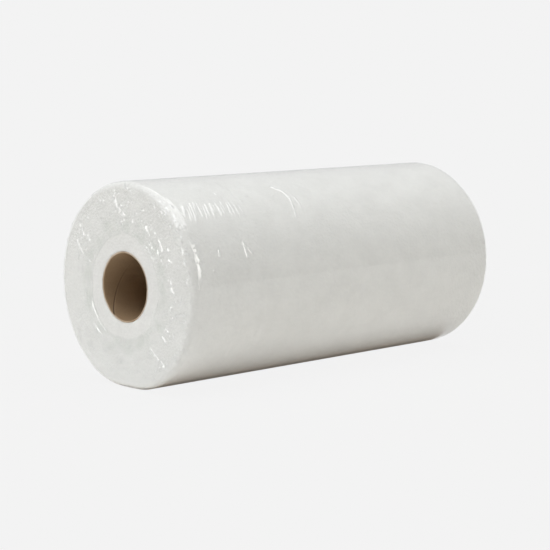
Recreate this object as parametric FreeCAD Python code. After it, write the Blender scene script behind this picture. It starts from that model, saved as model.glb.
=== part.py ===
import FreeCAD, Part
import math
import os

# Paper towel roll in clear shrink film, lying on its side.
# It lies along X on the plane z = 0. The end that is seen is towards -X, the side that is seen towards -Y.
# Lengths are in millimetres. Angles are in degrees, round from straight up towards -Y.

# Paper
sheet_width = 279.0       # width of the web, so the length of the roll and of its core
roll_radius = 66.1        # outside of the paper
edge_round = 4.4          # rounding that the tight film presses on the two end edges
round_bands = 5           # flat-sided bands that make up that rounding
sag_depth = 1.7           # how far the soft roll has settled on its flat spot
sag_bend = 30.0           # radius of the bend between the flat spot and the round
sheet_thickness = 0.35    # one embossed sheet, the step where the last turn ends
tail_angle = 292.0        # place of that step, on the far side
tail_fade = 60.0          # how far round the step runs out into the round

# Core
core_radius = 22.5        # outside of the cardboard tube
core_wall = 1.0
core_fit = 0.1            # gap to the first turn of paper
ply_pitch = 80.0          # advance of the spiral ply joint in one turn
ply_gap_width = 0.8       # open width of that joint
ply_gap_depth = 0.25
ply_start = 223.0         # place of the joint at the end that is seen

# Film
film_thickness = 0.2
film_fit = 0.1            # gap to the paper
eye_radius = 33.0         # open eye that the shrunk film leaves at each end
bead_width = 1.0          # thickened edge of the eye
bead_height = 0.35
crease_spread = 2.2       # half width of a crease over its height
far_end_turn = 140.0      # how far the far end's creases are turned from the near end's

# Creases of the shrunk film on an end: start share, start angle, end share, end angle, height.
# A share is 0 at the outside of the eye's thick edge and 1 where the end's rounding starts.
end_creases = (
    (0.45, 0.0, 0.97, -9.0, 0.80),
    (0.36, 4.0, 0.96, -5.0, 0.55),
    (0.79, 4.0, 0.98, 8.0, 0.45),
    (0.22, 12.0, 0.85, 31.0, 0.40),
    (0.11, 44.0, 0.36, 30.0, 0.45),
    (0.40, 52.0, 0.49, 33.0, 0.40),
    (0.54, 42.0, 0.96, 50.0, 0.35),
    (0.04, 62.0, 0.76, 68.0, 0.30),
    (0.05, 88.0, 0.51, 93.0, 0.30),
    (0.54, 105.0, 0.98, 99.5, 0.60),
    (0.05, 118.0, 0.47, 119.0, 0.40),
    (0.29, 145.5, 0.97, 139.5, 0.60),
    (0.04, 158.0, 0.36, 166.0, 0.35),
    (0.54, 178.0, 0.96, 184.0, 0.35),
    (0.07, 196.0, 0.36, 201.0, 0.35),
    (0.13, 212.0, 0.25, 229.0, 0.45),
    (0.04, 246.0, 0.51, 238.0, 0.40),
    (0.58, 262.0, 0.97, 259.0, 0.35),
    (0.07, 281.0, 0.45, 292.0, 0.45),
    (0.54, 297.0, 0.90, 308.0, 0.45),
    (0.07, 322.0, 0.43, 329.0, 0.40),
)

# Cutting tools
overrun = 5.0             # how far a tool reaches past what it cuts

# Sizes that follow from those above
film_radius = roll_radius + film_fit + film_thickness
axis_height = film_radius - sag_depth
core_bore_radius = core_radius - core_wall
paper_bore_radius = core_radius + core_fit
paper_inset = film_thickness + film_fit
film_half_length = sheet_width / 2 + paper_inset
film_round = edge_round + paper_inset
crease_inner_radius = eye_radius + bead_width
crease_outer_radius = film_radius - film_round


def axis_point(x):
    """Point on the roll's axis."""
    return FreeCAD.Vector(x, 0, axis_height)


def polar_point(x, radius, angle):
    """Point at a radius and an angle from straight up towards -Y, about the roll's axis."""
    turn = math.radians(angle)
    return FreeCAD.Vector(x, -radius * math.sin(turn), axis_height + radius * math.cos(turn))


def axis_cylinder(radius, length):
    """Cylinder about the roll's axis, centred on the roll's middle."""
    return Part.makeCylinder(radius, length, axis_point(-length / 2), FreeCAD.Vector(1, 0, 0))


def sagged_outline(x, inset):
    """Closed outline of the settled roll, a given distance inside the outer face of the film."""
    bend_height = axis_height - sag_bend
    flat_half = math.sqrt((film_radius - sag_bend) ** 2 - bend_height ** 2)
    bend_angle = math.atan2(flat_half, bend_height)
    bend_radius = sag_bend - inset

    def bend_point(side, angle):
        y = side * (flat_half + bend_radius * math.sin(angle))
        return FreeCAD.Vector(x, y, sag_bend - bend_radius * math.cos(angle))

    right_foot = bend_point(1, 0)
    right_end = bend_point(1, bend_angle)
    left_foot = bend_point(-1, 0)
    left_end = bend_point(-1, bend_angle)
    edges = [
        Part.makeLine(left_foot, right_foot),
        Part.Arc(right_foot, bend_point(1, bend_angle / 2), right_end).toShape(),
        Part.Arc(right_end, polar_point(x, film_radius - inset, 0), left_end).toShape(),
        Part.Arc(left_end, bend_point(-1, bend_angle / 2), left_foot).toShape(),
    ]
    return Part.Wire(edges)


def sagged_body(inset):
    """Solid of the settled roll with rounded end edges, a given distance inside the film's outer face."""
    half = film_half_length - inset
    radius = film_round - inset
    outlines = []
    for band in range(round_bands + 1):
        turn = math.pi / 2 * band / round_bands
        x = half - radius * (1 - math.sin(turn))
        outlines.append(sagged_outline(x, inset + radius * (1 - math.cos(turn))))
    mirrored = []
    for outline in outlines:
        mirrored.append(outline.mirror(FreeCAD.Vector(0, 0, 0), FreeCAD.Vector(1, 0, 0)))
    return Part.makeLoft(mirrored[::-1] + outlines, True, True)


def last_turn_point(x, share):
    """Point on the last turn's surface; its step is at share 0 and has run out at share 1."""
    return polar_point(x, roll_radius - sheet_thickness * (1 - share), tail_angle - tail_fade * share)


def tail_cut():
    """Long crescent that leaves the step where the last turn of paper ends."""
    half = sheet_width / 2 + overrun
    outside = roll_radius + overrun
    end_share = 1.5
    step_foot = last_turn_point(-half, 0)
    fade_foot = last_turn_point(-half, end_share)
    step_top = polar_point(-half, outside, tail_angle)
    fade_top = polar_point(-half, outside, tail_angle - tail_fade * end_share)
    middle_top = polar_point(-half, outside, tail_angle - tail_fade * end_share / 2)
    edges = [
        Part.Arc(step_foot, last_turn_point(-half, end_share / 2), fade_foot).toShape(),
        Part.makeLine(fade_foot, fade_top),
        Part.Arc(fade_top, middle_top, step_top).toShape(),
        Part.makeLine(step_top, step_foot),
    ]
    return Part.Face(Part.Wire(edges)).extrude(FreeCAD.Vector(2 * half, 0, 0))


def make_towel_roll():
    """All turns of paper, wound on the core, as one solid."""
    body = sagged_body(paper_inset)
    body = body.cut(axis_cylinder(paper_bore_radius, sheet_width + 2 * overrun))
    return body.cut(tail_cut())


def ply_gap():
    """Helical strip that opens the joint between two turns of the core's inner ply."""
    height = sheet_width + 2 * overrun
    path = Part.makeHelix(ply_pitch, height, core_bore_radius)
    low = core_bore_radius - ply_gap_depth
    high = core_bore_radius + ply_gap_depth
    corners = [
        FreeCAD.Vector(low, 0, -ply_gap_width / 2),
        FreeCAD.Vector(high, 0, -ply_gap_width / 2),
        FreeCAD.Vector(high, 0, ply_gap_width / 2),
        FreeCAD.Vector(low, 0, ply_gap_width / 2),
    ]
    profile = Part.makePolygon(corners + [corners[0]])
    strip = Part.Wire(path).makePipeShell([profile], True, True)
    strip.rotate(FreeCAD.Vector(0, 0, 0), FreeCAD.Vector(0, 1, 0), 90)
    start = ply_start - 360 * overrun / ply_pitch
    strip.rotate(FreeCAD.Vector(0, 0, 0), FreeCAD.Vector(1, 0, 0), start + 180)
    strip.translate(axis_point(-height / 2))
    return strip


def make_core():
    """Spiral-wound cardboard tube."""
    tube = axis_cylinder(core_radius, sheet_width)
    tube = tube.cut(axis_cylinder(core_bore_radius, sheet_width + 2 * overrun))
    return tube.cut(ply_gap())


def facet(corners):
    """Flat face through corners."""
    return Part.Face(Part.makePolygon(corners + [corners[0]]))


def crease_radius(share):
    """Radius at a share of the way from the eye's thick edge to the end's rounding."""
    return crease_inner_radius + share * (crease_outer_radius - crease_inner_radius)


def crease(side, start, end, height):
    """Low sharp ridge on an end face, highest in its middle and running out at both tips."""
    outward = FreeCAD.Vector(side, 0, 0)
    middle = (start + end) * 0.5
    across = (end - start).cross(outward).normalize() * (height * crease_spread)
    crest = middle + outward * height
    root = middle - outward * (film_thickness + film_fit)
    rim = [start, middle + across, end, middle - across]
    faces = []
    for number in range(4):
        first = rim[number]
        second = rim[(number + 1) % 4]
        faces.append(facet([first, second, crest]))
        faces.append(facet([second, first, root]))
    return Part.makeSolid(Part.makeShell(faces))


def end_ridges(side, turn):
    """Thick edge of the eye and the creases of one end; side is -1 for the near end, 1 for the far end."""
    x = side * film_half_length
    low = x if side > 0 else x - bead_height
    bead = Part.makeCylinder(eye_radius + bead_width, bead_height, axis_point(low), FreeCAD.Vector(1, 0, 0))
    ridges = [bead.cut(axis_cylinder(eye_radius, 2 * film_half_length + 2 * overrun))]
    for start_share, start_angle, end_share, end_angle, height in end_creases:
        start = polar_point(x, crease_radius(start_share), start_angle + turn)
        end = polar_point(x, crease_radius(end_share), end_angle + turn)
        ridges.append(crease(side, start, end, height))
    return ridges


def make_wrap_film():
    """Shrunk sleeve of clear film, with an open eye at each end."""
    body = sagged_body(0)
    body = body.cut(axis_cylinder(eye_radius, 2 * film_half_length + 2 * overrun))
    body = body.fuse(end_ridges(-1, 0) + end_ridges(1, far_end_turn))
    return body.cut(sagged_body(film_thickness))


pieces = {
    "core": make_core,
    "towel_roll": make_towel_roll,
    "wrap_film": make_wrap_film,
}

os.makedirs("parts", exist_ok=True)
for name, make_piece in pieces.items():
    shape = make_piece()
    solids = shape.Solids
    print(name, "solids", len(solids), "valid", shape.isValid(), "volume", round(shape.Volume, 1))
    box = shape.optimalBoundingBox()
    print("  x", round(box.XMin, 2), round(box.XMax, 2), "y", round(box.YMin, 2), round(box.YMax, 2),
          "z", round(box.ZMin, 2), round(box.ZMax, 2))
    solid = solids[0] if len(solids) == 1 else shape
    solid.exportStep("parts/" + name + ".step")
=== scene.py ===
import math
import random

import bpy
import numpy as np
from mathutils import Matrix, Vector, noise


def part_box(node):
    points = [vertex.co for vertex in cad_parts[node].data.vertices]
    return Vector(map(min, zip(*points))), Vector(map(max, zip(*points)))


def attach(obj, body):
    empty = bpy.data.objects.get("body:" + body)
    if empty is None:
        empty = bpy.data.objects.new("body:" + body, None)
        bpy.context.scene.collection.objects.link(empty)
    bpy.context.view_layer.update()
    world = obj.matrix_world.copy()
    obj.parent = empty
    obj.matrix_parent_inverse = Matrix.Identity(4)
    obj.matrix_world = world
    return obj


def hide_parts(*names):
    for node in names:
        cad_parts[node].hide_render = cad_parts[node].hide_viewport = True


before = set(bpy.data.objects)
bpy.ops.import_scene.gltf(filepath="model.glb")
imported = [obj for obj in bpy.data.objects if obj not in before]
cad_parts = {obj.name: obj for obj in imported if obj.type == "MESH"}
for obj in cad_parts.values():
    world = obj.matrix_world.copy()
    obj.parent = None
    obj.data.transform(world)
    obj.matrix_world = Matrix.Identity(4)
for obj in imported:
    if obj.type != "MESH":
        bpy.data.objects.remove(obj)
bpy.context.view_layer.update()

mm = 0.001

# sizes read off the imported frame
filmLow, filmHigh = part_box("wrap_film")
paperLow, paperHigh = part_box("towel_roll")
coreLow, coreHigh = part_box("core")
filmRadius = (filmHigh.y - filmLow.y) / 2
axisHeight = filmHigh.z - filmRadius
halfLength = (paperHigh.x - paperLow.x) / 2
coreRadius = (coreHigh.z - coreLow.z) / 2
print("stage: frame read, roll radius %.1f mm, half length %.1f mm" % (filmRadius / mm, halfLength / mm))

rollShape = {
    "sagBend": 55.0 * mm,        # bend between the flat spot and the round
    "edgeRound": 4.7 * mm,       # rounding of the film at the two end edges
    "filmGap": 0.3 * mm,         # from the film's outer face to the paper
    "endDrop": 0.3 * mm,         # how much the squeezed ends are slimmer than the middle
    "endReach": 9.0 * mm,        # how far in from the ends that goes
    "pressDrop": 0.75 * mm,      # more of it where the sleeve's shoulder sits, high on the seen side
    "pressTurn": 40.0,           # where that is, degrees from the top towards the seen side
    "pressSpread": 13.0,         # degrees to each side of it
}
filmHalf = halfLength + rollShape["filmGap"]
sideLength = filmHalf - rollShape["edgeRound"]       # half the side, without the rounded edge


# 1 where the offset is 0, falling to both sides
def bell(offset, spread):
    return math.exp(-(offset / spread) ** 2)


# how much slimmer the ends are, round the roll
def endDrop(turns):
    offset = np.degrees(np.mod(turns - math.radians(rollShape["pressTurn"]) + math.pi, 2 * math.pi) - math.pi)
    return rollShape["endDrop"] + rollShape["pressDrop"] * np.exp(-(offset / rollShape["pressSpread"]) ** 2)


# share of the end drop that is left at a depth
def dropLeft(depth):
    return max(1 - depth / rollShape["endReach"], 0) ** 2


# distance from the axis to the settled outline, inset inside the film; turn is in radians from straight up
def settledRadius(inset, turn):
    bend = rollShape["sagBend"]
    flatHalf = math.sqrt((filmRadius - bend) ** 2 - (axisHeight - bend) ** 2)
    bendTurn = math.atan2(flatHalf, axisHeight - bend)
    inset, turn = np.broadcast_arrays(np.asarray(inset, float), turn)
    fromDown = np.abs(np.mod(turn, 2 * math.pi) - math.pi)
    onFlat = (axisHeight - inset) / np.cos(np.minimum(fromDown, 1.0))    # 1.0: well outside the flat spot
    toBend = flatHalf * np.sin(fromDown) + (axisHeight - bend) * np.cos(fromDown)
    inside = toBend ** 2 - flatHalf ** 2 - (axisHeight - bend) ** 2 + (bend - inset) ** 2
    onBend = toBend + np.sqrt(np.maximum(inside, 0))
    radius = np.where(fromDown < np.arctan2(flatHalf, axisHeight - inset), onFlat, onBend)
    return np.where(fromDown >= bendTurn, filmRadius - inset, radius)


# points round the axis; turn grows from straight up towards the seen side, -Y
def placeRing(x, radius, turn):
    x, radius, turn = np.broadcast_arrays(x, radius, turn)
    return np.stack([x, -radius * np.sin(turn), axisHeight + radius * np.cos(turn)], -1)


# from the inner edge of an end to where its outer edge starts to round
def endSpan(startRadius):
    return filmRadius - rollShape["edgeRound"] - float(np.mean(startRadius))


# one half of the sleeve or of the paper, as rings from the inner edge of an end out to the middle
def halfRings(side, turns, startRadius, inset, faceStep, roundStep, sideSteps):
    rings, along = [], []
    edge = rollShape["edgeRound"] - inset
    endX = side * (filmHalf - inset)
    faceEnd = settledRadius(rollShape["edgeRound"], turns)
    faceSpan = endSpan(startRadius)
    faceRows = max(2, int(round(faceSpan / faceStep)))
    for row in range(faceRows):
        share = row / faceRows
        rings.append(placeRing(endX, startRadius + share * (faceEnd - startRadius), turns))
        along.append(share * faceSpan)
    roundRows = max(3, int(round(edge * math.pi / 2 / roundStep)))
    drop = endDrop(turns)
    for row in range(roundRows):
        bend = math.pi / 2 * row / roundRows
        depth = inset + edge * (1 - math.cos(bend))
        slim = drop * math.sin(bend) ** 2 * dropLeft(depth - inset)
        radius = settledRadius(inset + edge * (1 - math.sin(bend)) + slim, turns)
        rings.append(placeRing(side * (filmHalf - depth), radius, turns))
        along.append(faceSpan + edge * bend)
    depth = inset + edge
    start = faceSpan + edge * math.pi / 2 - depth
    for step in sideSteps:
        slim = drop * dropLeft(depth - inset)
        rings.append(placeRing(side * (filmHalf - depth), settledRadius(inset + slim, turns), turns))
        along.append(start + depth)
        depth += step
    return np.array(rings), np.array(along)


# step sizes that grow from a first one to a last one and add up to a length
def gradedSteps(length, first, last):
    count = max(3, int(round(length / ((first + last) / 2))))
    steps = np.linspace(first, last, count)
    return steps * (length / steps.sum())


# closed mesh from rings whose rows and columns both come round to where they start
def ringObject(name, points):
    rows, columns = points.shape[:2]
    index = np.arange(rows * columns).reshape(rows, columns)
    following = np.roll(index, -1, 0)
    quads = np.stack([index, following, np.roll(following, -1, 1), np.roll(index, -1, 1)], -1).reshape(-1, 4)
    mesh = bpy.data.meshes.new(name)
    mesh.vertices.add(rows * columns)
    mesh.vertices.foreach_set("co", points.reshape(-1).astype(np.float32))
    mesh.loops.add(len(quads) * 4)
    mesh.loops.foreach_set("vertex_index", quads.reshape(-1).astype(np.int32))
    mesh.polygons.add(len(quads))
    mesh.polygons.foreach_set("loop_start", np.arange(0, len(quads) * 4, 4, dtype=np.int32))
    mesh.polygons.foreach_set("use_smooth", np.ones(len(quads), bool))
    mesh.update(calc_edges=True)
    piece = bpy.data.objects.new(name, mesh)
    bpy.context.scene.collection.objects.link(piece)
    print("stage: %s, %d quads" % (name, len(quads)))
    return piece


# directions out of the roll at each point of half of it, columns closed
def outwardNormals(rings):
    across = np.roll(rings, -1, 1) - np.roll(rings, 1, 1)
    normals = np.cross(across, np.gradient(rings, axis=0))
    normals = normals / np.maximum(np.linalg.norm(normals, axis=-1, keepdims=True), 1e-12)
    return normals * np.sign((normals * (rings - np.array([0, 0, axisHeight]))).sum(-1, keepdims=True))


def metres(lengths):
    return [length * mm for length in lengths]


def noiseAt(x, y, z):
    return noise.noise(Vector((x, y, z)))


filmShape = {
    "thick": 0.15 * mm,
    "eyeRadius": 33.0 * mm,
    # the eye's unevenness: waves round it, mm, phase
    "eyeWaves": ((2, 0.5, 0.4), (3, 0.45, 2.0), (5, 0.3, 1.1), (9, 0.2, 0.0), (14, 0.12, 2.6)),
    "beadRadius": 0.16 * mm,
    "seen": (-70, 150),          # degrees round that have close columns
    "seenStep": 0.72,            # degrees between columns there, and elsewhere
    "hiddenStep": 5.0,
    "gatherHeight": 0.34 * mm,   # folds of film round the eye
    "gatherRing": 6.5 * mm,      # from the eye's edge to where they stand highest
    "gatherSpread": 1.15,        # how far they fade to both sides, in shares of that
    "swell": 0.16 * mm,          # wide soft waves of the rest of the ends
    "puckerHeight": 0.07 * mm,   # soft unevenness of the side
    "puckerReach": 40 * mm,      # how far in from the ends the side is puckered more
    "shoulderChop": 0.52 * mm,   # crumples where the end turns into the rounding
    "shoulderStreak": 0.16 * mm,     # long folds that run round with the rim
    "sideShine": 0.8,            # how folded a crease of the side counts beside one of the ends
    "fullFold": 0.4 * mm,        # crease height at which the film counts as fully folded
    "farCalm": 0.5,              # the far end's crumples beside the near end's
    "footClear": (1.0, 8.0),     # creases start this high over the floor, and grow over this height; mm
    "seed": 11,
}

# how fine the film's soft waves are: noise steps a mm, or round the roll
waveGrain = {
    "gather": (6.5, 0.07),       # round the roll, and a mm outwards
    "pleat": (9, 0.11),
    "swell": 0.085,
    "streak": (0.5, 6),          # a mm outwards, and round the roll
    "chop": (0.6, 0.42),         # a mm along the roll, and across it
    "fineChop": (1.1, 0.8),
    "spots": (0.15, 0.33),       # coarse and fine
    "soft": 0.05,
    "hoop": 0.33,
}

# where the waves of the ends are strongest, and how far they spread, in mm
waveBands = {
    "streak": (4, 5),            # past the edge of an end's flat part
    "chop": (-1, 3),
    "crumple": (1.6, 4.2),
    "spots": (4.5, 6.5),         # out from the eye
}

# mesh rows of the film, steps in mm: over the end, round its edge, then along the side, first and last
filmRows = {
    "near": (0.56, 0.6),
    "nearSide": ((7, 0.75), (51, 0.56), (32, 2.1), (19, 0.68)),      # length and step, from the near end on
    "nearRest": (1.6, 4.0),
    "far": (3.2, 1.5),
    "farSide": (3.0, 6.0),
    "inner": (9, 1.8),
    "innerSide": (12, 40),
}

# creases on the near end: points (right, up) from the axis as seen from outside, width, height; all in mm
faceCreases = (
    (((-10.0, 63.0), (-10.4, 58.0), (-8.6, 53.0), (-5.6, 49.0), (-2.6, 45.6), (2.0, 43.2)), 0.68, 0.68),
    (((-7.2, 63.4), (-8.6, 60.0), (-8.9, 56.0), (-6.4, 50.8)), 0.56, 0.54),
    (((7.3, 62.6), (7.0, 58.0)), 0.56, 0.41),
    (((-45.5, 38.5), (-42.6, 33.0), (-39.0, 28.4)), 0.62, 0.50),
    (((-37.8, 32.4), (-34.0, 25.6)), 0.62, 0.49),
    (((-48.6, 26.6), (-43.6, 20.0)), 0.62, 0.49),
    (((-43.4, 21.0), (-41.2, 14.6)), 0.68, 0.58),
    (((19.4, 39.6), (22.8, 37.2), (26.4, 33.4)), 0.50, 0.24),
    (((25.8, 39.4), (32.0, 34.2)), 0.50, 0.24),
    (((25.0, 30.6), (27.4, 26.6), (28.8, 23.4)), 0.56, 0.42),
    (((32.6, 33.4), (35.4, 28.6), (37.9, 24.2)), 0.56, 0.40),
    (((12.4, 31.8), (15.0, 31.0)), 0.50, 0.35),
    (((21.0, 28.6), (24.0, 25.4), (27.0, 21.2)), 0.56, 0.45),
    (((-35.0, -8.0), (-31.4, -15.0), (-26.8, -21.2)), 0.46, 0.25),
    (((-31.0, -24.0), (-26.0, -29.6), (-20.0, -33.4)), 0.46, 0.29),
    (((-38.0, -29.0), (-35.2, -33.4)), 0.56, 0.41),
    (((23.0, -33.8), (28.6, -39.4), (34.6, -43.2), (41.0, -48.0)), 0.62, 0.53),
    (((39.2, -21.8), (43.2, -24.6)), 0.56, 0.43),
    (((46.4, -13.4), (54.0, -11.8), (61.6, -11.3)), 0.56, 0.43),
    (((48.2, -37.0), (52.0, -40.0)), 0.56, 0.43),
    (((33.2, 57.4), (35.4, 54.2)), 0.56, 0.41),
    (((38.6, 53.8), (42.0, 50.4)), 0.56, 0.41),
    (((43.2, 51.6), (46.8, 47.2), (49.6, 42.6), (51.2, 38.8)), 0.62, 0.53),
    (((54.0, 36.0), (55.6, 30.8)), 0.56, 0.45),
    (((55.4, 27.6), (57.0, 24.0)), 0.50, 0.39),
    (((57.0, 21.0), (59.4, 18.8)), 0.50, 0.39),
    (((44.6, 8.0), (45.6, 2.0)), 0.56, 0.32),
)

# groups of short creases on the near end: (right, up) of the middle, how far they spread, how many; in mm
creaseGroups = (
    (-43.3, 28.2, 9.0, 14), (28.3, 27.5, 7.5, 9), (-42.5, 16.4, 2.0, 2),
    (38.0, 50.5, 6.0, 16), (46.5, 42.0, 4.5, 12), (55.5, 27.0, 4.0, 7), (59.0, 9.0, 3.0, 4),
    (39.8, -23.5, 2.6, 5), (46.7, -13.4, 4.0, 5), (34.1, -44.6, 5.5, 8), (-25.2, -29.3, 5.0, 5),
    (-9.4, 54.5, 3.6, 9), (-4.5, 47.5, 3.0, 7), (6.3, 60.5, 2.0, 3), (17.5, 23.0, 3.5, 5),
)
shortCrease = {
    "slope": -62.0, "turnBy": 28.0,                 # degrees, and how far single ones turn off it
    "length": (1.4, 4.4), "width": 0.5, "height": (0.22, 0.5), "rough": 0.3,
}

# loose creases all over the ends and the side, in mm; lean is how far they turn off their main direction
looseEnd = {
    "count": 150, "lean": 0.8, "rough": 0.4,
    "length": (1.5, 7.0), "width": (0.6, 1.0), "height": (0.10, 0.40),
}
looseSide = {
    "count": 110, "lean": 0.35, "rough": 0.3,
    "length": (2.0, 9.0), "width": (0.6, 0.9), "height": (0.04, 0.13),
    "first": 4, "reach": 120, "crowd": 1.6,         # from the near edge on, closest together there
}

# creases on the seen side: points (mm in from the near end, degrees round from the top), width, height in mm
sideCreases = (
    (((97.0, 25.2), (99.6, 27.4), (104.0, 31.0), (105.2, 36.9), (104.4, 41.6)), 1.1, 0.52),
    (((105.1, 38.0), (103.7, 42.5), (101.7, 47.9), (98.7, 54.5)), 1.0, 0.26),
    (((108.6, 34.4), (109.9, 37.4), (109.8, 42.9), (108.7, 48.2)), 0.9, 0.24),
    (((45.7, 62.3), (46.5, 66.0), (46.8, 69.2), (47.6, 73.0)), 1.6, 0.31),
    (((45.7, 62.3), (48.6, 65.4), (50.3, 68.3), (52.4, 71.3)), 1.5, 0.33),
    (((25.2, 64.6), (24.5, 71.4)), 1.5, 0.30),
    (((47.1, 28.0), (48.9, 30.7)), 1.0, 0.20),
    (((18.2, 75.8), (17.7, 78.5)), 1.4, 0.22),
    (((62.0, 36.0), (64.0, 38.5)), 1.0, 0.18),
    (((70.0, 33.0), (72.5, 36.0)), 1.0, 0.18),
)
comb = {
    "first": 12.0, "last": 59.0, "pitch": 1.6,      # mm in from the near end
    "from": 35.5, "to": 47.5,                       # degrees round
    "leanFirst": -4.2, "leanLast": -1.2,            # how far a stroke runs back towards the end
    "width": 0.56, "height": 0.24, "rough": 0.3,
}
# broad bright dent by the near edge: degrees round, then mm
blob = {"from": 58.0, "to": 84.5, "distance": 7.0, "width": 5.0, "height": 0.76, "shine": 0.3, "rough": 0.28}

# how every crease is drawn
creaseShape = {
    "faceRough": 0.4,            # how deep the ripple along it is, on the near end
    "sideRough": 0.1,            # and on the seen side
    "reach": 2.4,                # widths from its line to where it ends
    "kink": 1.4 * mm,            # length of its straight bits
    "wander": 0.14,              # widths that their ends stray
    "ripple": 0.55 * mm,         # length of the ripple along it
    "blunt": 1.8,                # how soon it is at full height from its ends
    "round": 1.5,                # how round its flanks are
}


# path with more points, each a little off the line
def jitteredPath(path, radius, step, wander, draw):
    out = [path[0]]
    for (s0, t0), (s1, t1) in zip(path[:-1], path[1:]):
        ds, dt = s1 - s0, t1 - t0
        length = math.hypot(ds, dt * radius)
        along, across = ds / length, dt * radius / length
        count = max(1, int(round(length / step)))
        for number in range(1, count + 1):
            share = number / count
            slip = draw.uniform(-wander, wander)
            out.append((s0 + share * ds - slip * across, t0 + share * dt + slip * along / radius))
    return out


# adds one crease through points (along, turn) to the relief and to the map of folds; a tent has flat flanks
def addCrease(maps, grid, path, width, height, rough, draw, tent=False):
    relief, folds, shine = maps
    along, turns, radius = grid
    places = np.array([point[0] for point in path])
    middle = sum(point[1] for point in path) / len(path)
    reach = creaseShape["reach"] * width
    rows = np.where((along > places.min() - reach) & (along < places.max() + reach))[0]
    if len(rows) == 0:
        return
    mean = float(radius[rows].mean())
    path = np.array(jitteredPath(path, mean, creaseShape["kink"], creaseShape["wander"] * width, draw))
    offset = np.mod(turns - middle + math.pi, 2 * math.pi) - math.pi
    spread = np.abs(path[:, 1] - middle).max() + reach / mean
    columns = np.where(np.abs(offset) < spread)[0]
    if len(columns) == 0:
        return
    s = along[rows][:, None]
    t = (middle + offset[columns])[None, :]
    r = radius[rows][:, None]
    lengths = np.hypot(np.diff(path[:, 0]), np.diff(path[:, 1]) * mean)
    total = lengths.sum()
    best = np.full((len(rows), len(columns)), 1.0)
    share = np.zeros_like(best)
    done = 0.0
    for (s0, t0), (s1, t1), length in zip(path[:-1], path[1:], lengths):
        ds, dt = s1 - s0, (t1 - t0) * r
        ps, pt = s - s0, (t - t0) * r
        k = np.clip((ps * ds + pt * dt) / np.maximum(ds ** 2 + dt ** 2, 1e-12), 0, 1)
        distance = np.hypot(ps - k * ds, pt - k * dt)
        nearer = distance < best
        best = np.where(nearer, distance, best)
        share = np.where(nearer, (done + k * length) / total, share)
        done += length
    taper = np.clip(np.sin(np.pi * np.clip(share, 0.02, 0.98)) * creaseShape["blunt"], 0, 1)
    ripple = 1 - rough * (0.5 + 0.5 * np.sin(share * total / creaseShape["ripple"] + draw.uniform(0, 6)))
    place = np.ix_(rows, columns)
    profile = np.maximum(1 - best / width, 0) if tent else np.exp(-(best / width) ** creaseShape["round"])
    shape = taper * ripple * profile
    relief[place] += height * shape
    folds[place] = np.maximum(folds[place], shape * shine * min(height / filmShape["fullFold"], 1.0))


# path over the near face given as (right, up) in mm, changed to (along, turn)
def facePath(points):
    path = []
    for right, up in points:
        path.append((math.hypot(right, up) * mm - filmShape["eyeRadius"], math.atan2(right, up)))
    turns = np.unwrap([turn for _, turn in path])
    return [(along, turn) for (along, _), turn in zip(path, turns)]


# soft waves of one half of the film: folds round the eye, swells of the end, unevenness of the side; also a
# map of spots of painted shade round the eye, and one of where the film is crumpled
def softWaves(rings, along, turns, side, faceSpan, sideStart):
    waves = np.zeros(rings.shape[:2])
    mottleShade = np.zeros(rings.shape[:2])
    crumple = np.zeros(rings.shape[:2])
    ring = filmShape["gatherRing"]
    calm = 1.0 if side < 0 else filmShape["farCalm"]
    for row in range(rings.shape[0]):
        s = along[row]
        fromEdge = s - faceSpan
        onEnd = 1 / (1 + math.exp(-(faceSpan + 2 * mm - s) / (1.2 * mm)))      # 1 on the end, 0 on the side
        nearEnd = math.exp(-max(s - sideStart, 0) / filmShape["puckerReach"])
        fold = filmShape["gatherHeight"] * bell(s - ring, filmShape["gatherSpread"] * ring)
        bands = {}
        for name, (middle, spread) in waveBands.items():
            bands[name] = bell((s if name == "spots" else fromEdge) - middle * mm, spread * mm)
        for column in range(rings.shape[1]):
            turn = turns[column]
            x, y, z = rings[row, column] / mm
            height = 0.0
            if onEnd > 0.01:
                cosine, sine = math.cos(turn), math.sin(turn)
                way, out = waveGrain["gather"]
                radial = noiseAt(cosine * way, sine * way, s / mm * out + side * 7)
                way, out = waveGrain["pleat"]
                sharp = 1 - 2 * abs(noiseAt(cosine * way + 3, sine * way, s / mm * out + side * 3))
                gather = fold * (0.55 + 0.9 * radial + 0.45 * sharp)
                swell = noiseAt(y * waveGrain["swell"], z * waveGrain["swell"], side * 5)
                height += onEnd * (gather + filmShape["swell"] * (swell + 0.5))
                out, way = waveGrain["streak"]
                streak = noiseAt(s / mm * out, turn * way, side * 3 + 20)
                height += calm * filmShape["shoulderStreak"] * bands["streak"] * (streak + 0.4)
                length, across = waveGrain["chop"]
                chop = noiseAt(x * length, y * across, z * across)
                length, across = waveGrain["fineChop"]
                chop += 0.7 * noiseAt(x * length, y * across + 5, z * across)
                height += calm * filmShape["shoulderChop"] * bands["chop"] * (chop + 0.4)
                crumple[row, column] = min(1.6 * bands["crumple"], 1.0)
                # spots of painted shade over the gathers round the eye, kept in the mesh
                coarse, fine = waveGrain["spots"]
                spots = noiseAt(y * coarse, z * coarse, side * 2 + 4)
                spots += 0.6 * noiseAt(y * fine, z * fine, side + 9)
                band = bands["spots"]
                mottleShade[row, column] = onEnd * min(max((0.3 + band) * (spots + 0.45 * band), 0), 1)
            if onEnd < 0.99:
                soft, hoop = waveGrain["soft"], waveGrain["hoop"]
                hoop = noiseAt(x * hoop, y * soft, z * soft)
                soft = noiseAt(x * soft, y * soft, z * soft)
                uneven = 0.7 * (soft + 0.6) + 1.1 * nearEnd * (hoop + 0.5)
                height += (1 - onEnd) * filmShape["puckerHeight"] * uneven
            waves[row, column] = max(height, 0.0)
    return waves, mottleShade, crumple


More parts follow.
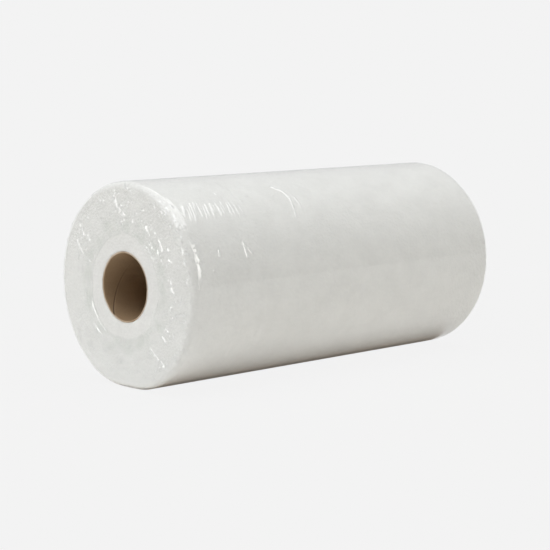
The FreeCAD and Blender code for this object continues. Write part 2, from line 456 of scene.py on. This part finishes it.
# strokes side by side along the near end's edge
def addComb(maps, grid, sideStart, draw):
    distance = comb["first"]
    while distance < comb["last"]:
        share = (distance - comb["first"]) / (comb["last"] - comb["first"])
        lean = comb["leanFirst"] + share * (comb["leanLast"] - comb["leanFirst"]) + draw.uniform(-0.5, 0.5)
        begin = math.radians(comb["from"] + draw.uniform(-2, 3) + 2 * share)
        finish = math.radians(comb["to"] + draw.uniform(-3, 2))
        start = sideStart + (distance + draw.uniform(-0.4, 0.4)) * mm
        path = ((start - lean * mm / 2, begin), (start + lean * mm / 2, finish))
        high = comb["height"] * draw.uniform(0.6, 1.0) * mm
        addCrease(maps, grid, path, comb["width"] * mm, high, comb["rough"], draw)
        distance += comb["pitch"] * draw.uniform(0.7, 1.3)


def addCreaseGroups(maps, grid, draw):
    for right, up, spread, count in creaseGroups:
        for number in range(count):
            x, y = right + draw.gauss(0, 0.5) * spread, up + draw.gauss(0, 0.5) * spread
            slope = math.radians(shortCrease["slope"] + draw.gauss(0, 1) * shortCrease["turnBy"])
            length = draw.uniform(*shortCrease["length"])
            path = facePath(((x, y), (x + length * math.cos(slope), y + length * math.sin(slope))))
            high = draw.uniform(*shortCrease["height"])
            addCrease(maps, grid, path, shortCrease["width"] * mm, high * mm, shortCrease["rough"], draw)


# loose creases that mostly run out from the eye, or on the side round the roll
def addLoose(maps, grid, loose, starts, calm, draw):
    for number in range(loose["count"]):
        s = starts()
        turn = draw.uniform(-math.pi, math.pi)
        lean = draw.gauss(0, loose["lean"])
        length = draw.uniform(*loose["length"]) * mm
        if loose is looseEnd:
            step = (length * math.cos(lean), length * math.sin(lean) / (filmShape["eyeRadius"] + s))
        else:
            step = (length * math.sin(lean), length * math.cos(lean) / filmRadius)
        width = draw.uniform(*loose["width"]) * mm
        high = calm * draw.uniform(*loose["height"]) * mm
        addCrease(maps, grid, ((s, turn), (s + step[0], turn + step[1])), width, high, loose["rough"], draw)


# creases of one half of the film
def filmCreases(maps, grid, side, faceSpan, sideStart, draw):
    face, plain = (*maps, 1.0), (*maps, filmShape["sideShine"])
    calm = 1.0 if side < 0 else filmShape["farCalm"]
    if side < 0:
        for points, width, height in faceCreases:
            addCrease(face, grid, facePath(points), width * mm, height * mm, creaseShape["faceRough"], draw)
        for points, width, height in sideCreases:
            path = [(sideStart + distance * mm, math.radians(turn)) for distance, turn in points]
            addCrease(plain, grid, path, width * mm, height * mm, creaseShape["sideRough"], draw, tent=True)
        addComb(plain, grid, sideStart, draw)
        path = [(sideStart + blob["distance"] * mm, math.radians(blob[end])) for end in ("from", "to")]
        plate = (*maps, blob["shine"])
        addCrease(plate, grid, path, blob["width"] * mm, blob["height"] * mm, blob["rough"], draw, tent=True)
        addCreaseGroups(face, grid, draw)

    def onEnd():
        return draw.uniform(1.5, faceSpan / mm + 4) * mm

    def onSide():
        distance = looseSide["first"] + looseSide["reach"] * draw.random() ** looseSide["crowd"]
        return sideStart + distance * mm

    addLoose(face, grid, looseEnd, onEnd, calm, draw)
    addLoose(plain, grid, looseSide, onSide, calm, draw)


# one half of the film: the bead of the eye's edge, then rings out to the middle of the side
def filmHalfRings(side, turns, eye, steps, draw):
    bead = filmShape["beadRadius"]
    outsideBead = eye + 1.6 * bead
    rings, along = halfRings(side, turns, outsideBead, 0.0, *steps)
    faceSpan = endSpan(outsideBead)
    sideStart = faceSpan + rollShape["edgeRound"] * (math.pi / 2 - 1)
    radius = np.hypot(rings[:, :, 1], rings[:, :, 2] - axisHeight).mean(1)
    relief, mottleShade, crumple = softWaves(rings, along, turns, side, faceSpan, sideStart)
    folds = np.zeros_like(relief)
    filmCreases((relief, folds), (along, turns, radius), side, faceSpan, sideStart, draw)
    footStart, footSpan = filmShape["footClear"]
    overFoot = np.clip((rings[:, :, 2] / mm - footStart) / footSpan, 0, 1)
    pastBead = np.clip(along / (1.5 * mm), 0.15, 1)[:, None]
    rings = rings + outwardNormals(rings) * (relief * overFoot * pastBead)[:, :, None]
    edgeRings = []
    for spin in (-60, -110, -160, 160, 110, 60):         # degrees round the bead
        x = side * (filmHalf + math.sin(math.radians(spin)) * bead)
        edgeRings.append(placeRing(x, eye + bead + math.cos(math.radians(spin)) * bead, turns))
    edgeMap = np.ones((len(edgeRings), len(turns)))
    folds = np.concatenate([edgeMap * 0, folds])
    mottleShade = np.concatenate([edgeMap * 0, mottleShade])
    crumple = np.concatenate([edgeMap, crumple])
    return np.concatenate([np.array(edgeRings), rings]), folds, mottleShade, crumple


def makeFilm():
    seenFrom, seenTo = filmShape["seen"]
    seen = np.arange(seenFrom, seenTo, filmShape["seenStep"])
    hidden = np.arange(seenTo, seenFrom + 360, filmShape["hiddenStep"])
    turns = np.radians(np.concatenate([seen, hidden]))
    eye = filmShape["eyeRadius"] * np.ones_like(turns)
    for waves, size, phase in filmShape["eyeWaves"]:
        eye += size * mm * np.sin(waves * turns + phase)
    draw = random.Random(filmShape["seed"])
    nearSide = []
    for length, step in filmRows["nearSide"]:
        nearSide.extend([step * mm] * int(round(length / step)))
    nearSide.extend(gradedSteps(sideLength - sum(nearSide), *metres(filmRows["nearRest"])))
    farSide = gradedSteps(sideLength, *metres(filmRows["farSide"]))
    near = filmHalfRings(-1, turns, eye, (*metres(filmRows["near"]), nearSide), draw)
    far = [part[::-1] for part in filmHalfRings(1, turns, eye, (*metres(filmRows["far"]), farSide), draw)]
    outer = [near[0], far[0]]
    inner = []
    start = eye + 2.2 * filmShape["beadRadius"]
    innerSteps = (*metres(filmRows["inner"]), gradedSteps(sideLength, *metres(filmRows["innerSide"])))
    for side in (1, -1):
        rings = halfRings(side, turns, start, filmShape["thick"], *innerSteps)[0]
        inner.append(rings if side > 0 else rings[::-1])
    piece = ringObject("wrapFilm", np.concatenate(outer + inner))
    outerRows = len(outer[0]) + len(outer[1])
    isInner = np.arange(len(piece.data.polygons)) // len(turns) >= outerRows
    piece.data.polygons.foreach_set("material_index", isInner.astype(np.int32))
    blank = np.zeros(sum(part.shape[0] * part.shape[1] for part in inner))
    for name, number in (("fold", 1), ("mottleShade", 2), ("crumple", 3)):
        values = np.concatenate([near[number].reshape(-1), far[number].reshape(-1), blank])
        layer = piece.data.attributes.new(name, "FLOAT", "POINT")
        layer.data.foreach_set("value", values.astype(np.float32))
    return piece


paperShape = {
    "boreRadius": 22.6 * mm,
    "sheet": 0.35 * mm,          # step where the last turn ends
    "tailTurn": 292.0,           # where that is, degrees from the top towards the seen side
    "tailFade": 60.0,            # degrees over which the step runs out
    "quilt": 0.16 * mm,          # soft hollows of the wound web
    "quiltGrain": 0.16,          # how fine they are, noise steps a mm
    "columnStep": 1.6,           # degrees
    "endSteps": (1.3 * mm, 0.9 * mm),        # rows over an end, and round its edge
    "sideSteps": (1.6 * mm, 2.6 * mm),       # rows along the side, at the ends and in the middle
    "boreRows": 24,
}


def makePaper():
    turns = np.radians(np.arange(0, 360, paperShape["columnStep"]))
    bore = paperShape["boreRadius"] * np.ones_like(turns)
    sideSteps = gradedSteps(sideLength, *paperShape["sideSteps"])
    grain = paperShape["quiltGrain"]
    toTail = np.mod(math.radians(paperShape["tailTurn"]) - turns, 2 * math.pi)
    tail = toTail / math.radians(paperShape["tailFade"])
    step = np.where(tail < 1, (1 - tail) * paperShape["sheet"], 0)[None, :]
    halves = []
    for side in (-1, 1):
        rings, along = halfRings(side, turns, bore, rollShape["filmGap"], *paperShape["endSteps"], sideSteps)
        sunk = np.zeros(rings.shape[:2])
        for row in range(rings.shape[0]):
            for column in range(rings.shape[1]):
                x, y, z = rings[row, column] / mm
                sunk[row, column] = 0.5 + 0.5 * noiseAt(x * grain, y * grain, z * grain)
        onSide = (along > endSpan(bore) + 2 * mm)[:, None]
        sunk = sunk * paperShape["quilt"] + step * onSide
        halves.append(rings - outwardNormals(rings) * sunk[:, :, None])
    boreRows = []
    for x in np.linspace(halfLength, -halfLength, paperShape["boreRows"])[1:-1]:
        boreRows.append(placeRing(x, bore, turns))
    return ringObject("towelRoll", np.concatenate([halves[0], halves[1][::-1], np.array(boreRows)]))


coreShape = {
    "wall": 1.0 * mm,
    "plyPitch": 80.0 * mm,       # how far along the joint runs in one turn
    "plyTurn": 211.0,            # place of the inner ply's joint at the near end, degrees
    "plyWidth": 4.2,             # degrees round that the joint is open
    "plyDepth": 0.28 * mm,
    "fray": 0.16 * mm,           # how rough the cut ends are
    "lip": 0.45 * mm,            # rounding of the cut ends towards the bore
    "jointReach": 14.0 * mm,     # how far in the joint gapes
    "jointLeft": 0.03,           # share of the gape that is left farther in
    "rows": 160,
    "columnStep": 3.0,           # degrees
}


# tube whose columns follow the ply joint round and along
def makeCore():
    wall = coreShape["wall"]
    inside = coreRadius - wall
    half = coreShape["plyWidth"] / 2
    joint = [-half - 0.5, -half, -half * 0.3, half * 0.3, half, half + 0.5]
    columns = np.radians(np.concatenate([joint, np.arange(6, 355, coreShape["columnStep"])]))
    depth = np.zeros_like(columns)       # of the joint, and how dark its columns are
    depth[1:5] = (0.35 * coreShape["plyDepth"], coreShape["plyDepth"], coreShape["plyDepth"], 0.0)
    shade = np.zeros_like(columns)
    shade[1:5] = (0.6, 1.0, 1.0, 0.4)
    rate = 2 * math.pi / coreShape["plyPitch"]
    rings, cuts, joints = [], [], []

    # one ring; gape is how far the joint shows, cut how much the frayed end colours it
    def addRing(x, radius, gape, cut):
        turns = math.radians(coreShape["plyTurn"]) + columns + rate * (x + halfLength)
        fray = 0.0
        if cut > 0:
            rough = [noiseAt(math.cos(t) * 9, math.sin(t) * 9, radius / mm) for t in turns]
            fine = [noiseAt(math.cos(t) * 30, math.sin(t) * 30, radius / mm + 5) for t in turns]
            fray = math.copysign(coreShape["fray"], x) * (np.array(rough) + 0.6 * np.array(fine) - 0.2)
            radius = radius + coreShape["fray"] * 0.35 * np.array(fine)
        gape *= max(bell(halfLength - abs(x), coreShape["jointReach"]), coreShape["jointLeft"])
        rings.append(placeRing(x + fray, radius + gape * depth, turns))
        tone = [noiseAt(math.cos(t) * 2.2, math.sin(t) * 2.2, 3.7) for t in turns]
        cuts.append(np.clip(cut * (0.75 + 1.1 * np.array(tone)), 0, 1))
        joints.append(gape * shade)

    stations = np.linspace(-halfLength, halfLength, coreShape["rows"])[1:-1]
    lip = coreShape["lip"]
    ends = ((-halfLength + lip, 0.0, 0.05), (-halfLength + lip * 0.3, 0.12, 0.4))
    for x, share, cut in ends[::-1]:
        addRing(x, inside + share * wall, 1.0, cut)
    for x in stations:
        addRing(x, inside, 1.0, 0.0)
    for x, share, cut in ends:
        addRing(-x, inside + share * wall, 1.0, cut)
    for share in (0.3, 0.6, 0.95):
        addRing(halfLength, inside + share * wall, 0.0, 1.25 - share / 2)
    for x in stations[::-1]:
        addRing(x, coreRadius - 0.03 * mm, 0.0, 0.0)
    for share in (0.95, 0.6, 0.3):
        addRing(-halfLength, inside + share * wall, 0.0, 1.25 - share / 2)
    piece = ringObject("coreTube", np.array(rings))
    for name, values in (("cut", cuts), ("joint", joints)):
        layer = piece.data.attributes.new(name, "FLOAT", "POINT")
        layer.data.foreach_set("value", np.array(values).reshape(-1).astype(np.float32))
    return piece


# node helpers
def newMaterial(name):
    material = bpy.data.materials.new(name)
    material.use_nodes = True
    tree = material.node_tree
    tree.nodes.clear()
    return material, tree


def addNode(tree, kind, settings=None, **values):
    node = tree.nodes.new(kind)
    for key, value in (settings or {}).items():
        setattr(node, key, value)
    for key, value in values.items():
        node.inputs[key.replace("_", " ")].default_value = value
    return node


def mathNode(tree, operation, first, second=None):
    node = tree.nodes.new("ShaderNodeMath")
    node.operation = operation
    for place, value in ((0, first), (1, second)):
        if value is None:
            continue
        if isinstance(value, (int, float)):
            node.inputs[place].default_value = value
        else:
            tree.links.new(value, node.inputs[place])
    return node.outputs[0]


def mapNode(tree, value, fromSpan, toSpan=(0.0, 1.0), kind="SMOOTHSTEP"):
    node = addNode(tree, "ShaderNodeMapRange", {"interpolation_type": kind})
    tree.links.new(value, node.inputs["Value"])
    for name, number in zip(("From Min", "From Max", "To Min", "To Max"), (*fromSpan, *toSpan)):
        node.inputs[name].default_value = number
    return node.outputs["Result"]


# map that is stored in the mesh
def meshMap(tree, name):
    return addNode(tree, "ShaderNodeAttribute", {"attribute_name": name}).outputs["Fac"]


# grain is scale, detail, roughness
def noiseNode(tree, place, grain):
    node = addNode(tree, "ShaderNodeTexNoise", Scale=grain[0], Detail=grain[1], Roughness=grain[2])
    tree.links.new(place, node.inputs["Vector"])
    return node.outputs["Fac"]


# bump is strength, distance in metres
def bumpNode(tree, height, bump, under=None):
    node = addNode(tree, "ShaderNodeBump", Strength=bump[0], Distance=bump[1])
    tree.links.new(height, node.inputs["Height"])
    if under is not None:
        tree.links.new(under, node.inputs["Normal"])
    return node.outputs["Normal"]


def mixColours(tree, share, first, second):
    node = addNode(tree, "ShaderNodeMix", {"data_type": "RGBA"})
    for place, value in ((0, share), (6, first), (7, second)):
        if isinstance(value, tuple):
            node.inputs[place].default_value = value
        else:
            tree.links.new(value, node.inputs[place])
    return node.outputs[2]


def mixShaders(tree, share, first, second):
    node = addNode(tree, "ShaderNodeMixShader")
    for place, value in enumerate((share, first, second)):
        tree.links.new(value, node.inputs[place])
    return node.outputs[0]


def showSurface(tree, shader, kind="ShaderNodeOutputMaterial"):
    tree.links.new(shader, addNode(tree, kind).inputs["Surface"])


filmLook = {
    "frontGloss": 0.065,         # share mirrored face on, both faces of the film together
    "foldGloss": 0.14,           # added where the film lies in folds
    "roughness": 0.09,
    "crumpled": 0.18,            # roughness added where it lies in fine crumples
    "crumpledGloss": 0.30,       # share of the gloss that is left there
    "haze": 0.05,
    "foldHaze": 0.25,            # added in the folds
    "hazeColour": (0.93, 0.94, 0.93, 1),
    "clearTint": (0.997, 0.998, 0.996, 1),
    # darker, greener tint in spots round the eye: painted shade of the gathers, and partly the tint of film
    # lying in more layers
    "blotchShadeTint": (0.935, 0.948, 0.935, 1),
    "coarse": (150.0, 3.0, 0.65),            # noises, and the bumps that they raise
    "coarseBump": (0.14, 0.00022),
    "fine": (620.0, 3.0, 0.6),
    "fineBump": (0.10, 0.00010),
}


def filmMaterial():
    material, tree = newMaterial("clearFilm")
    link = tree.links.new
    place = addNode(tree, "ShaderNodeTexCoord").outputs["Object"]
    fold = meshMap(tree, "fold")
    unfolded = mathNode(tree, "SUBTRACT", 1.0, fold)
    loose = mathNode(tree, "MULTIPLY", meshMap(tree, "crumple"), unfolded)

    # gloss: more at a slant and in folds, less in crumples
    facing = addNode(tree, "ShaderNodeLayerWeight", Blend=0.5).outputs["Facing"]
    slant = mathNode(tree, "MULTIPLY", mathNode(tree, "POWER", facing, 5.0), 1 - filmLook["frontGloss"])
    gloss = mathNode(tree, "ADD", slant, filmLook["frontGloss"])
    gloss = mathNode(tree, "ADD", gloss, mathNode(tree, "MULTIPLY", fold, filmLook["foldGloss"]))
    dull = mathNode(tree, "MULTIPLY", loose, 1 - filmLook["crumpledGloss"])
    gloss = mathNode(tree, "MULTIPLY", gloss, mathNode(tree, "SUBTRACT", 1.0, dull))

    low = bumpNode(tree, noiseNode(tree, place, filmLook["coarse"]), filmLook["coarseBump"])
    bump = bumpNode(tree, noiseNode(tree, place, filmLook["fine"]), filmLook["fineBump"], low)
    mirror = addNode(tree, "ShaderNodeBsdfGlossy", Color=(1, 1, 1, 1))
    link(bump, mirror.inputs["Normal"])
    rough = mathNode(tree, "MULTIPLY", loose, filmLook["crumpled"])
    link(mathNode(tree, "ADD", rough, filmLook["roughness"]), mirror.inputs["Roughness"])

    clear = addNode(tree, "ShaderNodeBsdfTransparent")
    # spots of painted shade over the gathers round the eye, partly the tint of film in more layers
    tint = mixColours(tree, meshMap(tree, "mottleShade"), filmLook["clearTint"], filmLook["blotchShadeTint"])
    link(tint, clear.inputs["Color"])
    milk = addNode(tree, "ShaderNodeBsdfDiffuse", Color=filmLook["hazeColour"])
    haze = mathNode(tree, "ADD", mathNode(tree, "MULTIPLY", fold, filmLook["foldHaze"]), filmLook["haze"])
    body = mixShaders(tree, haze, clear.outputs[0], milk.outputs[0])
    showSurface(tree, mixShaders(tree, gloss, body, mirror.outputs[0]))
    return material


def filmInsideMaterial():
    material, tree = newMaterial("clearFilmInside")
    showSurface(tree, addNode(tree, "ShaderNodeBsdfTransparent", Color=(1, 1, 1, 1)).outputs[0])
    return material


paperLook = {
    "white": (0.852, 0.855, 0.834, 1),
    # darker tone mixed in by noise: partly the tissue's own uneven tone, partly painted shade of its quilted,
    # embossed web
    "hollowShade": (0.782, 0.785, 0.764, 1),
    "roughness": 0.92,
    "specular": 0.2,
    "patch": (60.0, 3.0, 0.6),
    "weaveScale": (260.0, 620.0, 620.0),     # finer round the roll than along it
    "weave": (1.0, 2.0, 0.7),
    "hollowShadeSpan": (0.72, 1.28),              # sum of patch and weave at which hollows start and are full
    "embossScale": 520.0,
    "embossBump": (0.65, 0.0004),
    "fibre": (1400.0, 4.0, 0.7),
    "fibreBump": (0.4, 0.0002),
}


def paperMaterial():
    material, tree = newMaterial("tissuePaper")
    link = tree.links.new
    place = addNode(tree, "ShaderNodeTexCoord").outputs["Object"]
    stretched = addNode(tree, "ShaderNodeMapping", Scale=paperLook["weaveScale"])
    link(place, stretched.inputs["Vector"])
    # darker patches, and fine streaks round the roll, mixed into the colour: the tissue's uneven tone and
    # painted shade of its quilted web
    patch = noiseNode(tree, place, paperLook["patch"])
    weave = noiseNode(tree, stretched.outputs["Vector"], paperLook["weave"])
    share = mapNode(tree, mathNode(tree, "ADD", patch, weave), paperLook["hollowShadeSpan"], kind="LINEAR")
    emboss = addNode(tree, "ShaderNodeTexVoronoi", Scale=paperLook["embossScale"])
    link(place, emboss.inputs["Vector"])
    low = bumpNode(tree, emboss.outputs["Distance"], paperLook["embossBump"])
    bump = bumpNode(tree, noiseNode(tree, place, paperLook["fibre"]), paperLook["fibreBump"], low)
    shader = addNode(tree, "ShaderNodeBsdfPrincipled", Roughness=paperLook["roughness"])
    shader.inputs["Specular IOR Level"].default_value = paperLook["specular"]
    link(mixColours(tree, share, paperLook["white"], paperLook["hollowShade"]), shader.inputs["Base Color"])
    link(bump, shader.inputs["Normal"])
    showSurface(tree, shader.outputs[0])
    return material


coreLook = {
    "board": (0.315, 0.21, 0.118, 1),
    "fibre": (0.43, 0.305, 0.185, 1),
    "cut": (0.60, 0.50, 0.40, 1),            # frayed rim of the two ends
    "joint": (0.10, 0.062, 0.035, 1),        # shade in the open joint of the inner ply
    "roughness": 0.85,
    "grain": (900.0, 4.0, 0.7),
    "grainBump": (0.4, 0.0002),
}


def coreMaterial():
    material, tree = newMaterial("kraftBoard")
    link = tree.links.new
    place = addNode(tree, "ShaderNodeTexCoord").outputs["Object"]
    grain = noiseNode(tree, place, coreLook["grain"])
    tone = mixColours(tree, grain, coreLook["board"], coreLook["fibre"])
    for name in ("cut", "joint"):
        tone = mixColours(tree, meshMap(tree, name), tone, coreLook[name])
    shader = addNode(tree, "ShaderNodeBsdfPrincipled", Roughness=coreLook["roughness"])
    link(tone, shader.inputs["Base Color"])
    link(bumpNode(tree, grain, coreLook["grainBump"]), shader.inputs["Normal"])
    showSurface(tree, shader.outputs[0])
    return material


# pieces
towelRoll = makePaper()
towelRoll.data.materials.append(paperMaterial())
wrapFilm = makeFilm()
wrapFilm.data.materials.append(filmMaterial())
wrapFilm.data.materials.append(filmInsideMaterial())
coreTube = makeCore()
coreTube.data.materials.append(coreMaterial())
for piece, node, slotName in (
    (towelRoll, "towel_roll", "towel_paper"),
    (wrapFilm, "wrap_film", "clear_film"),
    (coreTube, "core", "cardboard"),
):
    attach(piece, "root")
    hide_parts(node)
print("stage: pieces placed")

studio = {
    "pale": 0.896,               # how bright the floor and backdrop look
    "ambient": 0.005,            # world light on the object
    "room": 0.62,                # what the film mirrors above the floor
    "mirroredFloor": 1.05,       # how bright the floor is in the film
    "floorSize": 9.0,
    "floorColour": (0.94, 0.915, 0.875, 1),      # of the light that the floor gives back
    "floorShade": (0.68, 0.48, 0.27, 1),         # the same close to the foot, beside the roll
    "shadeReach": 0.056,         # metres from the foot to where that ends
    "endStretch": 5.0,           # how many times the way past the roll's ends counts there
    "contactHalf": (0.1315, 0.0095),     # half the foot, along and across, in metres
    "contactFade": (0.0, 0.0045),        # metres from the foot over which its shadow fades
    "floorFlat": 0.98,           # share of the floor round the roll that shows no shadow
    "shadowFade": (0.15, 0.55),  # metres from the roll's middle over which that goes to none
    # share of the floor by the near end that glows as a pale card, lighting the near end though it is no lamp
    "cardGlow": 0.7,                 # how much of the floor by the near end counts as a pale card
    "cardBright": 1.2,
    "cardReach": 0.32,           # metres from the roll's middle
}


def makeFloor():
    size = studio["floorSize"]
    corners = [(-size, -size, 0), (size, -size, 0), (size, size, 0), (-size, size, 0)]
    mesh = bpy.data.meshes.new("floorSheet")
    mesh.from_pydata(corners, [], [(0, 1, 2, 3)])
    floor = bpy.data.objects.new("floorSheet", mesh)
    bpy.context.scene.collection.objects.link(floor)
    material, tree = newMaterial("paleFloor")
    link = tree.links.new
    path = addNode(tree, "ShaderNodeLightPath").outputs
    place = addNode(tree, "ShaderNodeTexCoord").outputs["Object"]
    axes = addNode(tree, "ShaderNodeSeparateXYZ")
    link(place, axes.inputs[0])
    away = addNode(tree, "ShaderNodeVectorMath", {"operation": "LENGTH"})
    link(place, away.inputs[0])

    # distance from the foot, and the same with the way past the ends stretched
    squares = []
    for axis, half in zip("XY", studio["contactHalf"]):
        gap = mathNode(tree, "SUBTRACT", mathNode(tree, "ABSOLUTE", axes.outputs[axis]), half)
        gap = mathNode(tree, "MAXIMUM", gap, 0.0)
        squares.append(mathNode(tree, "MULTIPLY", gap, gap))
    fromFoot = mathNode(tree, "SQRT", mathNode(tree, "ADD", *squares))
    pastEnds = mathNode(tree, "MULTIPLY", squares[0], studio["endStretch"] ** 2)
    beside = mathNode(tree, "SQRT", mathNode(tree, "ADD", pastEnds, squares[1]))
    shade = mapNode(tree, beside, (0.0, studio["shadeReach"]))
    lit = addNode(tree, "ShaderNodeBsdfDiffuse")
    link(mixColours(tree, shade, studio["floorShade"], studio["floorColour"]), lit.inputs["Color"])

    # pale card on the floor in front of the near end that glows: only bounced, diffuse rays meet its glow,
    # which lights the near end though it is no lamp
    ahead = mathNode(tree, "MULTIPLY", axes.outputs["X"], -1.0)
    cardGlow = mapNode(tree, ahead, (studio["cardReach"], halfLength))
    cardGlow = mathNode(tree, "MULTIPLY", cardGlow, mathNode(tree, "GREATER_THAN", ahead, halfLength))
    cardGlow = mathNode(tree, "MULTIPLY", cardGlow, studio["cardGlow"])
    bright = addNode(tree, "ShaderNodeEmission", Color=(1, 1, 1, 1), Strength=studio["cardBright"])
    bounced = mathNode(tree, "MULTIPLY", path["Is Diffuse Ray"], cardGlow)
    under = mixShaders(tree, bounced, lit.outputs[0], bright.outputs[0])

    # even tone: what the camera sees away from the foot, and what the film mirrors
    pale = studio["pale"]
    glow = addNode(tree, "ShaderNodeEmission", Color=(pale, pale, pale, 1))
    lift = mathNode(tree, "MULTIPLY", path["Is Glossy Ray"], studio["mirroredFloor"] / pale - 1)
    link(mathNode(tree, "ADD", lift, 1.0), glow.inputs["Strength"])
    spread = mapNode(tree, away.outputs["Value"], studio["shadowFade"], (studio["floorFlat"], 1.0))
    flat = mathNode(tree, "MULTIPLY", spread, mapNode(tree, fromFoot, studio["contactFade"]))
    seen = mathNode(tree, "MAXIMUM", path["Is Camera Ray"], path["Is Transmission Ray"])
    seen = mathNode(tree, "MULTIPLY", seen, flat)
    mirrored = mathNode(tree, "MULTIPLY", path["Is Glossy Ray"], shade)
    showSurface(tree, mixShaders(tree, mathNode(tree, "ADD", seen, mirrored), under, glow.outputs[0]))
    mesh.materials.append(material)


def makeWorld():
    world = bpy.data.worlds.new("studioWorld")
    bpy.context.scene.world = world
    world.use_nodes = True
    tree = world.node_tree
    tree.nodes.clear()
    background = addNode(tree, "ShaderNodeBackground", Color=(1, 1, 1, 1))
    background.name = "worldGlow"
    path = addNode(tree, "ShaderNodeLightPath").outputs
    seen = mathNode(tree, "MAXIMUM", path["Is Camera Ray"], path["Is Transmission Ray"])
    seen = mathNode(tree, "MULTIPLY", seen, studio["pale"] - studio["ambient"])
    mirrored = mathNode(tree, "MULTIPLY", path["Is Glossy Ray"], studio["room"] - studio["ambient"])
    total = mathNode(tree, "ADD", mathNode(tree, "ADD", seen, mirrored), studio["ambient"])
    tree.links.new(total, background.inputs["Strength"])
    showSurface(tree, background.outputs[0], "ShaderNodeOutputWorld")


softboxes = {
    # name: place, aimed at, width, height, brightness, warmth
    "overhead": ((-0.55, 0.0, 1.5), (-0.55, 0, 0.07), 3.1, 1.7, 2.22, -0.012),
    "leftBox": ((-1.415, 0.622, 0.25), (-0.14, 0, 0.07), 0.7, 0.7, 3.5, 0.0),
    "rightStrip": ((0.50, -1.33, 0.71), (-0.13, 0, 0.07), 0.30, 1.50, 4.0, 0.05),
}


def makeLights():
    for name, (place, aim, width, height, bright, warmth) in softboxes.items():
        data = bpy.data.lights.new(name, "AREA")
        data.shape = "RECTANGLE"
        data.size = width
        data.size_y = height
        data.energy = bright * math.pi * width * height
        data.color = (1, 1 - 0.3 * warmth, 1 - warmth)       # less blue, and a little less green
        lamp = bpy.data.objects.new(name, data)
        bpy.context.scene.collection.objects.link(lamp)
        lamp.location = place
        lamp.rotation_mode = "QUATERNION"
        lamp.rotation_quaternion = (Vector(aim) - Vector(place)).to_track_quat("-Z", "Y")


cameraView = {
    "place": (-0.7951, -0.8170, 0.2069),
    "yaw": 43.91,                # degrees from +Y towards +X
    "pitch": 7.35,               # degrees down
    "lens": 109.87,              # mm, with the sensor's width
    "sensor": 36,
}


def makeCamera():
    data = bpy.data.cameras.new("photoCamera")
    data.lens = cameraView["lens"]
    data.sensor_width = cameraView["sensor"]
    camera = bpy.data.objects.new("photoCamera", data)
    bpy.context.scene.collection.objects.link(camera)
    yaw, pitch = math.radians(cameraView["yaw"]), math.radians(cameraView["pitch"])
    ahead = Vector((math.sin(yaw) * math.cos(pitch), math.cos(yaw) * math.cos(pitch), -math.sin(pitch)))
    camera.location = cameraView["place"]
    camera.rotation_mode = "QUATERNION"
    camera.rotation_quaternion = ahead.to_track_quat("-Z", "Y")
    bpy.context.scene.camera = camera


makeFloor()
makeWorld()
makeLights()
makeCamera()
bpy.context.scene.view_settings.view_transform = "Standard"
print("stage: studio ready")
